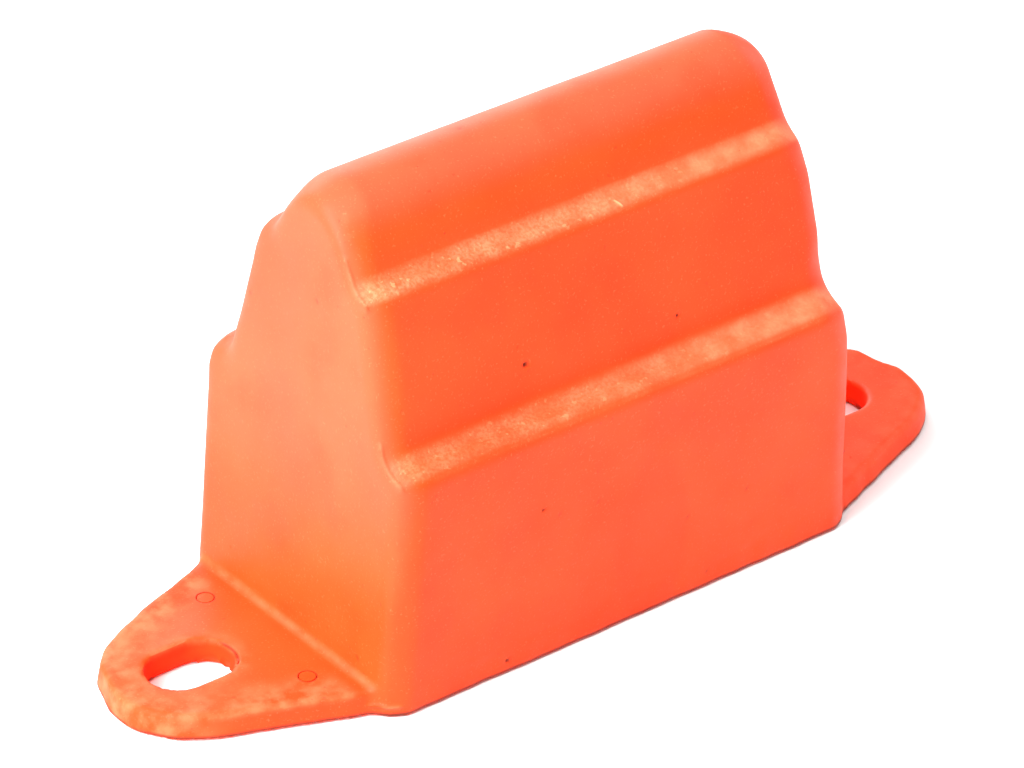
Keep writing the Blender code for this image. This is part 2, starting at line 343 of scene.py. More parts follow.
def smoothstep(low, high, value):
    """Rise smoothly from 0 at low to 1 at high."""
    t = np.clip((value - low) / (high - low), 0.0, 1.0)
    return t * t * (3.0 - 2.0 * t)


def fall(low, high, value):
    """Fall smoothly from 1 at low to 0 at high."""
    return 1.0 - smoothstep(low, high, value)


def ridge(offset, half_width):
    """1 on a line, fading to both sides of it."""
    return np.exp(-((offset / half_width) ** 2))


def coordinates(points):
    """Distance from the middle along and across, height, and whether on the right half."""
    return np.abs(points[:, 0]), np.abs(points[:, 1]), points[:, 2], points[:, 0] > 0.0


def distance_to(points, place):
    """Distance from each point to one place."""
    return np.linalg.norm(points - np.array(place), axis=1)


def polyline_distance(u, v, outline):
    """Unsigned distance from points (u, v) to an open outline."""
    nearest = np.full(u.shape, np.inf)
    for start, end in zip(outline[:-1], outline[1:]):
        along = end - start
        share = ((u - start[0]) * along[0] + (v - start[1]) * along[1]) / (along @ along)
        share = np.clip(share, 0.0, 1.0)
        du = u - start[0] - share * along[0]
        dv = v - start[1] - share * along[1]
        nearest = np.minimum(nearest, du * du + dv * dv)
    return np.sqrt(nearest)


def profile_distance(across, up):
    """Signed distance to the block's long sides and crown, negative inside."""
    below = np.vstack([[FOOT[0], -20.0], PROFILE])
    distance = polyline_distance(across, up, below)
    half_width = np.interp(up, PROFILE[:, 1], PROFILE[:, 0])
    inside = (across < half_width) & (up < HEIGHT)
    return np.where(inside, -distance, distance)


def flange_distance(along, across):
    """Signed distance to the flange's outline seen from above, negative inside."""
    distance = polyline_distance(along, across, FLANGE)
    half_width = np.interp(along, FLANGE[:, 0], FLANGE[:, 1])
    inside = (across < half_width) & (along < FLANGE[-1, 0])
    return np.where(inside, -distance, distance)


def slot_distance(along, across, on_right):
    """Signed distance to the outline of the bolt slot, negative in the slot."""
    inner_end = SLOT_INNER_END + np.where(on_right, 0.0, LEFT_SLOT_SHORTFALL)
    outer_end = np.where(on_right, RIGHT_SLOT_OUTER_END, LEFT_SLOT_OUTER_END)
    past = np.maximum(along - outer_end + SLOT_RADIUS, inner_end + SLOT_RADIUS - along)
    return np.hypot(np.maximum(past, 0.0), across) - SLOT_RADIUS


def end_plane(height, on_right):
    """Half length of the block at a height, from the draft of its end faces."""
    ledge = LOWER_LEDGE[1][1]
    below = np.minimum(height, ledge)
    above = np.maximum(height - ledge, 0.0)
    drafted = BLOCK_LENGTH / 2.0 - END_DRAFT_BELOW_LEDGE * below - END_DRAFT_ABOVE_LEDGE * above
    tuck = FOOT_TUCK * fall(0.0, FOOT_TUCK_HEIGHT, height)
    return drafted - tuck * on_right


def edge_radius(height, on_right):
    """Radius of the rounded edge round an end face: smaller at the ledges than elsewhere."""
    radius = np.full(height.shape, UPRIGHT_EDGE_RADIUS)
    at_ledge = np.where(on_right, RIGHT_LEDGE_EDGE_RADIUS, LEDGE_EDGE_RADIUS)
    for outer, inner in (LOWER_LEDGE, UPPER_LEDGE):
        distance = np.maximum(outer[1] - outer[2] - height, height - inner[1] - inner[2])
        share = smoothstep(0.0, LEDGE_BLEND, distance)
        radius = at_ledge + (radius - at_ledge) * share
    share = smoothstep(HEIGHT - CROWN_RADIUS, HEIGHT, height)
    return radius + (CROWN_EDGE_RADIUS - radius) * share


def round_intersection(a, b, radius):
    """Keep what is inside both distances, with a rounded edge between them."""
    corner = np.hypot(np.maximum(radius + a, 0.0), np.maximum(radius + b, 0.0))
    return np.minimum(-radius, np.maximum(a, b)) + corner


def round_union(a, b, radius):
    """Join two distances, with a fillet in the crease between them."""
    corner = np.hypot(np.maximum(radius - a, 0.0), np.maximum(radius - b, 0.0))
    return np.maximum(radius, np.minimum(a, b)) - corner


def rim_offset(points):
    """How far the bumps and dents move the outline of the ears outwards."""
    offset = np.zeros(len(points))
    for (x, y), reach, height in RIM_LUMPS:
        away = np.hypot(points[:, 0] - x, points[:, 1] - y)
        offset += height * fall(0.0, reach, away)
    return offset


def block_distance(along, across, up, on_right):
    """Signed distance to the block, with a narrow flat along its rounded end edges."""
    sides = profile_distance(across, up)
    ends = along - end_plane(up, on_right)
    radius = edge_radius(up, on_right)
    block = round_intersection(sides, ends, radius)
    turn = math.cos(EDGE_FLAT_ANGLE) + math.sin(EDGE_FLAT_ANGLE) - 1.0
    facet = sides * math.cos(EDGE_FLAT_ANGLE) + ends * math.sin(EDGE_FLAT_ANGLE)
    facet += radius * turn + EDGE_FLAT_DEPTH
    return round_intersection(block, facet, EDGE_FLAT_BLEND)


def body_distance(points):
    """Signed distance to the whole moulding."""
    along, across, up, on_right = coordinates(points)
    block = block_distance(along, across, up, on_right)
    flange_side = flange_distance(along, across) + FLANGE_SIDE_DRAFT * np.maximum(up, 0.0)
    flange_side -= rim_offset(points)
    flange = round_intersection(flange_side, up - FLANGE_THICKNESS, RIM_RADIUS)
    whole = round_union(block, flange, CREASE_RADIUS)
    whole = round_intersection(whole, -up, FOOT_RADIUS)
    depth = np.clip(FLANGE_THICKNESS - up, -1.0, FLANGE_THICKNESS)
    skewed = points[:, 1] - RIGHT_SLOT_SKEW * on_right
    slot = slot_distance(along - SLOT_SLANT * depth * ~on_right, skewed, on_right)
    slot += SLOT_DRAFT * depth
    return round_intersection(whole, -slot, LIP_RADIUS)


def gradient(points):
    """Slope of the distance field at each point."""
    slope = np.empty_like(points)
    for axis in range(3):
        offset = np.zeros(3)
        offset[axis] = SLOPE_STEP
        slope[:, axis] = body_distance(points + offset) - body_distance(points - offset)
    return slope / (2.0 * SLOPE_STEP)


def unit_normals(points):
    """Directions straight out of the surface."""
    slope = gradient(points)
    return slope / np.linalg.norm(slope, axis=1)[:, None]


# ----------------------------------------------------------------------- mesh work


def new_object(name, mesh):
    """Link a mesh into the scene as an object."""
    thing = bpy.data.objects.new(name, mesh)
    bpy.context.scene.collection.objects.link(thing)
    return thing


def prism(name, bottom, top):
    """A closed solid between two matching outlines."""
    shape = bmesh.new()
    low = [shape.verts.new(point) for point in bottom]
    high = [shape.verts.new(point) for point in top]
    shape.faces.new(low)
    shape.faces.new(high)
    for index in range(len(low)):
        following = (index + 1) % len(low)
        shape.faces.new((low[index], low[following], high[following], high[index]))
    bmesh.ops.recalc_face_normals(shape, faces=shape.faces)
    mesh = bpy.data.meshes.new(name)
    shape.to_mesh(mesh)
    shape.free()
    return new_object(name, mesh)


def upright_prism(name, outline, low, high):
    """A prism that stands on an outline, in millimetres."""
    bottom = [(x, y, low) for x, y in outline]
    top = [(x, y, high) for x, y in outline]
    return prism(name, bottom, top)


def mirrored_outline(quarter):
    """A full outline from the part of it over +X, +Y."""
    right = [(x, y) for x, y in quarter[1:]] + [(x, -y) for x, y in quarter[::-1][1:-1]]
    right.append((quarter[1][0], -quarter[1][1]))
    right = list(dict.fromkeys(right))
    return right + [(-x, -y) for x, y in right]


def slot_outline(end, outer_end):
    """Outline of one bolt slot."""
    centre = end * (SLOT_INNER_END + outer_end) / 2.0
    straight = (outer_end - SLOT_INNER_END) / 2.0 - SLOT_RADIUS
    points = []
    for side in (1, -1):
        for angle in np.linspace(math.pi / 2.0, -math.pi / 2.0, SLOT_END_STEPS + 1):
            x = centre + side * (straight + SLOT_RADIUS * math.cos(angle))
            points.append((x, side * SLOT_RADIUS * math.sin(angle)))
    return points


def block_form():
    """The block with sharp end edges."""
    left = [(-end_plane(up, False), across, up) for across, up in PROFILE]
    left += [(-end_plane(up, False), -across, up) for across, up in PROFILE[::-1][1:]]
    right = [(-x, y, z) for x, y, z in left]
    return prism("block_form", left, right)


def apply_modifiers(thing):
    """Replace an object's mesh by its evaluated one."""
    graph = bpy.context.evaluated_depsgraph_get()
    mesh = bpy.data.meshes.new_from_object(thing.evaluated_get(graph))
    thing.modifiers.clear()
    thing.data = mesh


def boolean(target, tool, operation):
    """Apply one Boolean and remove its tool."""
    modifier = target.modifiers.new("shape", "BOOLEAN")
    modifier.operation = operation
    modifier.solver = "EXACT"
    modifier.object = tool
    apply_modifiers(target)
    bpy.data.objects.remove(tool, do_unlink=True)


def coarse_body():
    """Union of the simple forms, remeshed into even quads, in millimetres."""
    body = block_form()
    flange = upright_prism("flange_form", mirrored_outline(FLANGE), 0.0, FLANGE_THICKNESS)
    boolean(body, flange, "UNION")
    over = FLANGE_THICKNESS
    for end, outer_end in ((-1, LEFT_SLOT_OUTER_END), (1, RIGHT_SLOT_OUTER_END)):
        outline = slot_outline(end, outer_end)
        boolean(body, upright_prism("slot_form", outline, -over, 2.0 * over), "DIFFERENCE")
    remesh = body.modifiers.new("even_quads", "REMESH")
    remesh.mode = "VOXEL"
    remesh.voxel_size = VOXEL
    apply_modifiers(body)
    return body


def read_points(mesh):
    """Vertex positions as an array."""
    flat = np.empty(len(mesh.vertices) * 3)
    mesh.vertices.foreach_get("co", flat)
    return flat.reshape(-1, 3)


def read_edges(mesh):
    """Vertex pairs of all edges."""
    flat = np.empty(len(mesh.edges) * 2, dtype=np.int32)
    mesh.edges.foreach_get("vertices", flat)
    return flat.reshape(-1, 2)


def onto_surface(points, rounds):
    """Draw points onto the distance field's zero level. Returns them with their normals."""
    for _ in range(rounds):
        slope = gradient(points)
        size = np.maximum((slope * slope).sum(axis=1), 0.25)
        points = points - slope * (body_distance(points) / size)[:, None]
    return points, unit_normals(points)


def neighbour_mean(points, edges):
    """Mean place of each point's neighbours."""
    total = np.zeros_like(points)
    count = np.zeros(len(points))
    for one, other in ((0, 1), (1, 0)):
        np.add.at(total, edges[:, one], points[edges[:, other]])
        np.add.at(count, edges[:, one], 1.0)
    return total / count[:, None]


def relax(points, normals, edges):
    """Even out the spacing of points along the surface."""
    shift = neighbour_mean(points, edges) - points
    shift -= normals * (shift * normals).sum(axis=1)[:, None]
    return points + shift * RELAX_STRENGTH


def corner_share(points):
    """1 where a ledge's outer corner meets the rounded edge of an end face."""
    along, _, up, on_right = coordinates(points)
    corner = np.zeros(len(points))
    for outer, _ in (LOWER_LEDGE, UPPER_LEDGE):
        above = up - outer[1] + 0.5 * outer[2]
        corner = np.maximum(corner, ridge(above, CORNER_HALF_HEIGHT))
    inset = end_plane(up, on_right) - along
    corner *= fall(0.5 * CORNER_REACH, CORNER_REACH, inset)
    front_left = (points[:, 0] < 0.0) & (points[:, 1] < 0.0)
    return corner * np.where(front_left, FRONT_LEFT_CORNER_SHARE, 1.0)


def soften_corners(points, edges):
    """Round off the ledges' outer corners. Returns the points with their normals."""
    share = corner_share(points)[:, None]
    for _ in range(CORNER_ROUNDS):
        points = points + RELAX_STRENGTH * share * (neighbour_mean(points, edges) - points)
    return points, unit_normals(points)


def refine(body, chosen, cuts):
    """Split the faces whose corners are all chosen into finer quads."""
    shape = bmesh.new()
    shape.from_mesh(body.data)
    faces = [face for face in shape.faces if all(chosen[corner.index] for corner in face.verts)]
    edges = list(dict.fromkeys(edge for face in faces for edge in face.edges))
    bmesh.ops.subdivide_edges(shape, edges=edges, cuts=cuts, use_grid_fill=True)
    shape.to_mesh(body.data)
    shape.free()


def ledge_share(points, normals):
    """1 on the flat of the ledges, fading over their rounded corners, scaled by their pale dust and
    painted highlight.
    """
    up = points[:, 2]
    rightwards = smoothstep(*LEDGE_DUST_AND_HIGHLIGHT_RANGE, points[:, 0])
    share = np.zeros(len(points))
    for (outer, inner), (left_dust_and_highlight, right_dust_and_highlight) in zip((LOWER_LEDGE, UPPER_LEDGE), LEDGE_DUST_AND_HIGHLIGHT):
        dust_and_highlight = left_dust_and_highlight + (right_dust_and_highlight - left_dust_and_highlight) * rightwards
        beyond = np.maximum(outer[1] - outer[2] - up, up - inner[1] - 0.8 * inner[2])
        share = np.maximum(share, dust_and_highlight * fall(-1.5, 0.0, beyond))
    share *= np.where(points[:, 1] > 0.0, BACK_LEDGE_DUST_AND_HIGHLIGHT, 1.0)
    return share * smoothstep(0.45, 0.85, normals[:, 2])


def granular_share(points):
    """How granular the dust and painted highlight on the ledges are, from left to right."""
    return 1.0 - (1.0 - GRANULAR_ON_RIGHT) * smoothstep(*GRANULAR_RANGE, points[:, 0])


def wear_and_highlight_share(points):
    """1 where the skin is rubbed pale, on the ears' rims, slot lips and crease and the raised flash
    line, and where a highlight is painted, on the seam's crest and the crown's left edge.
    """
    along, across, up, on_right = coordinates(points)
    past_end = along - end_plane(up, on_right)
    rim = fall(*RIM_WEAR_REACH, -flange_distance(along, across))
    lip = LIP_WEAR * fall(*LIP_WEAR_REACH, slot_distance(along, across, on_right))
    on_ear = smoothstep(*EAR_WEAR_START, past_end) * (up < EAR_TOP)
    on_side = fall(FLANGE_THICKNESS - 1.6, FLANGE_THICKNESS - 0.6, up)
    on_ear *= 1.0 - on_side * fall(*NOSE_WEAR_START, along)
    on_ear *= np.where(on_right, RIGHT_EAR_WEAR, 1.0)
    above = up - FLANGE_THICKNESS
    crease = fall(*CREASE_WEAR_REACH, past_end) * fall(*CREASE_WEAR_REACH, above)
    crease *= (past_end > -0.5) & (above > -0.3) & (across < EAR_ROOT_HALF_WIDTH)
    # The seam's crest and the crown's left edge get a painted highlight
    line = np.maximum(SEAM_HIGHLIGHT * seam_share(points), FLASH_WEAR * flash_share(points))
    line = np.maximum(line, CROWN_EDGE_HIGHLIGHT_SHARE * stroke_share(points, CROWN_EDGE_HIGHLIGHT))
    return np.maximum(np.maximum(rim, lip) * on_ear, np.maximum(CREASE_WEAR * crease, line))


def seam_share(points):
    """1 on the crest of the fine line across the front ledges, beside the left end face."""
    along, _, up, on_right = coordinates(points)
    inset = end_plane(up, on_right) - along - SEAM_INSET
    at_ledge = np.zeros(len(points))
    for outer, inner in (LOWER_LEDGE, UPPER_LEDGE):
        beyond = np.maximum(outer[1] - 0.7 * outer[2] - up, up - inner[1] - 0.7 * inner[2])
        at_ledge = np.maximum(at_ledge, fall(-0.5, 1.0, beyond))
    at_ledge *= (points[:, 0] < 0.0) & (points[:, 1] < 0.0)
    return at_ledge * ridge(inset, SEAM_HALF_WIDTH)


def painted_shade_and_soil_share(points):
    """Painted shade, 1 inside the slots and less in the hollows above the ledges, and a little soil
    on the right ear.
    """
    along, across, up, on_right = coordinates(points)
    inside = fall(0.0, 0.8, slot_distance(along, across, on_right))
    inside *= fall(FLANGE_THICKNESS - 1.2, FLANGE_THICKNESS, up)
    hollow = np.zeros(len(points))
    for _, inner in (LOWER_LEDGE, UPPER_LEDGE):
        hollow = np.maximum(hollow, ridge(up - inner[1] - HOLLOW_HEIGHT, HOLLOW_HALF_HEIGHT))
    hollow *= smoothstep(2.0, 5.0, end_plane(up, on_right) - along)
    soiled = RIGHT_EAR_SOIL * (points[:, 0] > BLOCK_LENGTH / 2.0 - 1.0) * (up < EAR_TOP)
    return np.maximum(np.maximum(inside, HOLLOW_SHADE * hollow), soiled)


def painted_reflection_share(points):
    """1 in the middle of a painted reflection, a faint darker patch low on the front."""
    offset = points - np.array(REFLECTION_PLACE)
    reach = np.hypot(offset[:, 0] / REFLECTION_HALF_WIDTH, offset[:, 2] / REFLECTION_HALF_HEIGHT)
    return fall(0.75, 1.05, reach) * (np.abs(offset[:, 1]) < 2.0)


def contact_shadow_share(points, normals):
    """1 along the foot, where a contact shadow is painted on the lowest edge."""
    low = fall(*CONTACT_SHADOW_HEIGHTS, points[:, 2])
    return low * smoothstep(0.1, 0.5, 1.0 - np.abs(normals[:, 2]))


def painted_highlight_share(points):
    """Share of the painted highlight on the upper part of the left end face and along the crown."""
    up = points[:, 2]
    past_end = -points[:, 0] - end_plane(up, False)
    end = END_HIGHLIGHT * smoothstep(-4.0, -0.5, past_end) * smoothstep(*END_HIGHLIGHT_HEIGHTS, up)
    crown = CROWN_TOP_HIGHLIGHT * smoothstep(HEIGHT - 9.0, HEIGHT - 2.5, up)
    return np.maximum(end, crown)


def plug_ring_share(points):
    """1 in the thin line of dirt round each spacer plug."""
    share = np.zeros(len(points))
    for x, y, radius, _ in PLUG_HOLES:
        away = np.hypot(points[:, 0] - x, points[:, 1] - y) - radius
        share = np.maximum(share, fall(0.0, PLUG_RING_WIDTH, away))
    return share * (points[:, 2] < EAR_TOP)


def stroke_share(points, stroke):
    """1 along a short straight mark, given as its two ends and its half width."""
    start, end, half_width = stroke
    start = np.array(start)
    along = np.array(end) - start
    share = np.clip((points - start) @ along / (along @ along), 0.0, 1.0)
    away = np.linalg.norm(points - start - share[:, None] * along, axis=1)
    return ridge(away, half_width)


def split_share(points):
    """1 in the middle of the short split beside the left slot."""
    along, across, _, on_right = coordinates(points)
    offset = slot_distance(along, across, on_right) - SPLIT_OFFSET
    near = fall(0.6 * SPLIT_REACH, SPLIT_REACH, distance_to(points, SPLIT_PLACE))
    near *= points[:, 0] > SPLIT_PLACE[0] - SPLIT_OUTWARD_REACH
    return near * ridge(offset, SPLIT_HALF_WIDTH)


def flash_share(points):
    """1 on the crest of the flash line round the front left foot."""
    near = fall(0.5 * FLASH_REACH, FLASH_REACH, distance_to(points, FLASH_PLACE))
    return near * ridge(points[:, 2] - FLASH_PLACE[2], SEAM_HALF_WIDTH)


def scatter_pits(points, normals):
    """The named air pits and smaller ones at random places, away from the underside."""
    dice = random.Random(PIT_SEED)
    allowed = np.flatnonzero((points[:, 2] > 1.0) & (normals[:, 2] > -0.3))
    pits = list(PITS)
    for _ in range(SCATTERED_PITS):
        place = points[allowed[dice.randrange(len(allowed))]]
        radius = dice.uniform(*SCATTERED_PIT_RADIUS)
        pits.append((tuple(place), radius, SCATTERED_PIT_DEPTH * radius))
    return pits


def pit_depth(points, pits):
    """How far each point sinks into an air pit, and how much dirt lies there."""
    depth = np.zeros(len(points))
    share = np.zeros(len(points))
    for index, (place, radius, deepest) in enumerate(pits):
        near = fall(0.3 * radius, 1.3 * radius, distance_to(points, place))
        depth = np.maximum(depth, deepest * near)
        dirt_and_shadow = 1.0 if index < len(PITS) else SCATTERED_PIT_DIRT
        share = np.maximum(share, dirt_and_shadow * near)
    return depth, share


def fine_places(points, pits):
    """True where small marks need a finer mesh."""
    near_pit = np.zeros(len(points), dtype=bool)
    for place, _, _ in pits:
        near_pit |= distance_to(points, place) < PIT_REACH
    marks = (seam_share(points) > 0.02) | (flash_share(points) > 0.02)
    marks |= stroke_share(points, (*FIBRE[:2], 4.0 * FIBRE[2])) > 0.05
    for x, y, _, _ in PLUG_HOLES:
        away = np.hypot(points[:, 0] - x, points[:, 1] - y)
        marks |= (away < PLUG_FINE_REACH) & (points[:, 2] > 1.0)
    return near_pit | marks | (distance_to(points, SPLIT_PLACE) < SPLIT_REACH)


def waves(points, ledge):
    """Slow waves of a hand-cast skin, with small grains on the ledges."""
    offsets = np.empty(len(points))
    for index, point in enumerate(points):
        broad = noise.noise(Vector(point / BROAD_WAVE_LENGTH))
        fine = noise.noise(Vector(point / FINE_WAVE_LENGTH) + Vector((5.0, 9.0, 2.0)))
        grain = noise.noise(Vector(point / LEDGE_GRAIN_LENGTH) + Vector((1.0, 4.0, 8.0)))
        offsets[index] = BROAD_WAVE * broad + FINE_WAVE * fine + LEDGE_GRAIN * ledge[index] * grain
    return offsets * smoothstep(0.0, 2.0, points[:, 2])


def rough_sides(points):
    """Uneven hand-trimmed sides round the ears and along the foot of the block."""
    offsets = np.empty(len(points))
    for index, point in enumerate(points):
        stretched = Vector((point[0], point[1], 0.3 * point[2]))
        offsets[index] = noise.noise(stretched / SIDE_ROUGHNESS_LENGTH)
    along, across, up, _ = coordinates(points)
    side = fall(0.5, 2.5, -flange_distance(along, across))
    return SIDE_ROUGHNESS * offsets * side * (up < EAR_TOP)


def store(mesh, name, values):
    """Keep one number for each vertex, for the material to read."""
    layer = mesh.attributes.new(name, "FLOAT", "POINT")
    layer.data.foreach_set("value", values.astype(np.float32))


def cut_plug_holes(body):
    """Round holes for the spacer plugs, which keep a fine gap all round."""
    for x, y, radius, top in PLUG_HOLES:
        outline = []
        for angle in np.linspace(0.0, 2.0 * math.pi, PLUG_STEPS, endpoint=False):
            rim_x = x + radius * math.cos(angle)
            rim_y = y + radius * math.sin(angle)
            outline.append((rim_x * MM, rim_y * MM))
        low = (top - PLUG_HOLE_DEPTH) * MM
        high = (top + PLUG_HOLE_ABOVE) * MM
        boolean(body, upright_prism("plug_hole_form", outline, low, high), "DIFFERENCE")


def soil_plug_rings(mesh):
    """Add the dirt round the plugs to what the mesh already keeps."""
    layer = mesh.attributes["dirt_and_shadow"]
    dirt_and_shadow = np.empty(len(mesh.vertices))
    layer.data.foreach_get("value", dirt_and_shadow)
    ring = plug_ring_share(read_points(mesh) / MM)
    layer.data.foreach_set("value", np.maximum(dirt_and_shadow, PLUG_RING_DIRT * ring).astype(np.float32))


def build_body():
    """The finished skin of the moulding."""
    body = coarse_body()
    edges = read_edges(body.data)
    points, normals = onto_surface(read_points(body.data), PROJECTION_ROUNDS)
    for _ in range(RELAX_ROUNDS):
        points = relax(points, normals, edges)
        points, normals = onto_surface(points, 1)
    body.data.vertices.foreach_set("co", points.ravel())
    pits = scatter_pits(points, normals)
    refine(body, fine_places(points, pits), FINE_CUTS)
    mesh = body.data
    points, normals = onto_surface(read_points(mesh), 2)
    points, normals = soften_corners(points, read_edges(mesh))
    ledge = ledge_share(points, normals)
    depth, pit = pit_depth(points, pits)
    split = split_share(points)
    offsets = waves(points, ledge) + rough_sides(points)
    fibre = stroke_share(points, FIBRE)
    offsets += SEAM_HEIGHT * seam_share(points) + FLASH_HEIGHT * flash_share(points)
    offsets += FIBRE_HEIGHT * fibre
    offsets -= depth + SPLIT_DEPTH * split
    # The ledge set holds the pale dust and the painted highlight on the ledges
    store(mesh, "ledge", ledge)
    # Wear, with the painted highlight on the seam and the crown's left edge
    store(mesh, "wear_and_highlight", wear_and_highlight_share(points))
    # Painted shade in the slots and the hollows above the ledges, and soil on the right ear
    store(mesh, "shade", painted_shade_and_soil_share(points))
    # Painted reflection, a faint darker patch low on the front
    store(mesh, "painted_reflection", painted_reflection_share(points))
    # The dirt set also holds the painted contact shadow along the foot
    store(mesh, "dirt_and_shadow", np.maximum(np.maximum(pit, split), contact_shadow_share(points, normals)))
    store(mesh, "fibre", fibre)
    # Painted highlight on the upper left end face and the top of the crown
    store(mesh, "painted_highlight", painted_highlight_share(points))
    store(mesh, "granular", granular_share(points))
    points = points + normals * offsets[:, None]
    points[:, 2] = np.maximum(points[:, 2], 0.0)
    mesh.vertices.foreach_set("co", (points * MM).ravel())
    cut_plug_holes(body)
    soil_plug_rings(body.data)
    body.data.shade_smooth()
    body.data.set_sharp_from_angle(angle=SHARP_ANGLE)
    body.name = "elastomer_body"
    body.data.name = "elastomer_body"
    return body


# ----------------------------------------------------------------------- materials


def link(tree, source, target):
    """Wire one socket to another."""
    tree.links.new(source, target)


def new_material(name):
    """A node material with its tree and its Principled shader."""
    material = bpy.data.materials.new(name)
    material.use_nodes = True
    tree = material.node_tree
    shader = tree.nodes["Principled BSDF"]
    shader.inputs["Specular IOR Level"].default_value = SPECULAR_LEVEL
    return material, tree, shader


def noise_texture(tree, scale, detail, offset=0.0):
    """Noise in the object's own space; scale is waves per metre."""
    own_space = tree.nodes.new("ShaderNodeTexCoord")
    shift = tree.nodes.new("ShaderNodeMapping")
    shift.inputs["Location"].default_value = (offset, offset, offset)
    link(tree, own_space.outputs["Object"], shift.inputs["Vector"])
    texture = tree.nodes.new("ShaderNodeTexNoise")
    texture.inputs["Scale"].default_value = scale
    texture.inputs["Detail"].default_value = detail
    link(tree, shift.outputs["Vector"], texture.inputs["Vector"])
    return texture.outputs["Fac"]


def remap(tree, value, low, high, new_low, new_high):
    """Stretch a range of values to another and clamp it."""
    node = tree.nodes.new("ShaderNodeMapRange")
    node.inputs["From Min"].default_value = low
    node.inputs["From Max"].default_value = high
    node.inputs["To Min"].default_value = new_low
    node.inputs["To Max"].default_value = new_high
    link(tree, value, node.inputs["Value"])
    return node.outputs["Result"]


def calculate(tree, operation, one, other):
    """One sum of two values, each a socket or a number."""
    node = tree.nodes.new("ShaderNodeMath")
    node.operation = operation
    for value, socket in zip((one, other), node.inputs):
        if isinstance(value, (int, float)):
            socket.default_value = value
        else:
            link(tree, value, socket)
    return node.outputs["Value"]


def blend_colors(tree, share, below, above):
    """Mix a colour towards another by a share, each a socket or a colour."""
    node = tree.nodes.new("ShaderNodeMix")
    node.data_type = "RGBA"
    link(tree, share, node.inputs["Factor"])
    for value, socket in ((below, node.inputs[6]), (above, node.inputs[7])):
        if isinstance(value, tuple):
            socket.default_value = (*value, 1.0)
        else:
            link(tree, value, socket)
    return node.outputs[2]


def stored(tree, name):
    """A number kept at each vertex."""
    node = tree.nodes.new("ShaderNodeAttribute")
    node.attribute_name = name
    return node.outputs["Fac"]


def add_bump(tree, height, distance, strength, before=None):
    """A bump node after an earlier one."""
    node = tree.nodes.new("ShaderNodeBump")
    node.inputs["Strength"].default_value = strength
    node.inputs["Distance"].default_value = distance
    link(tree, height, node.inputs["Height"])
    if before is not None:
        link(tree, before, node.inputs["Normal"])
    return node.outputs["Normal"]


def elastomer(name, base, deep, pale, roughness):
    """Satin cast elastomer with slow colour drift and a fine grain."""
    material, tree, shader = new_material(name)
    drift = remap(tree, noise_texture(tree, 45.0, 4.0), 0.35, 0.65, 0.0, 1.0)
    color = blend_colors(tree, drift, deep, base)
    grain = noise_texture(tree, 1900.0, 3.0)
    speckle = remap(tree, grain, 0.56, 0.72, 0.0, 0.25)
    color = blend_colors(tree, speckle, color, pale)
    link(tree, color, shader.inputs["Base Color"])
    link(tree, add_bump(tree, grain, 0.00005, 0.35), shader.inputs["Normal"])
    gloss = remap(tree, noise_texture(tree, 160.0, 3.0), 0.3, 0.7, roughness - 0.05, roughness + 0.05)
    link(tree, gloss, shader.inputs["Roughness"])
    return material


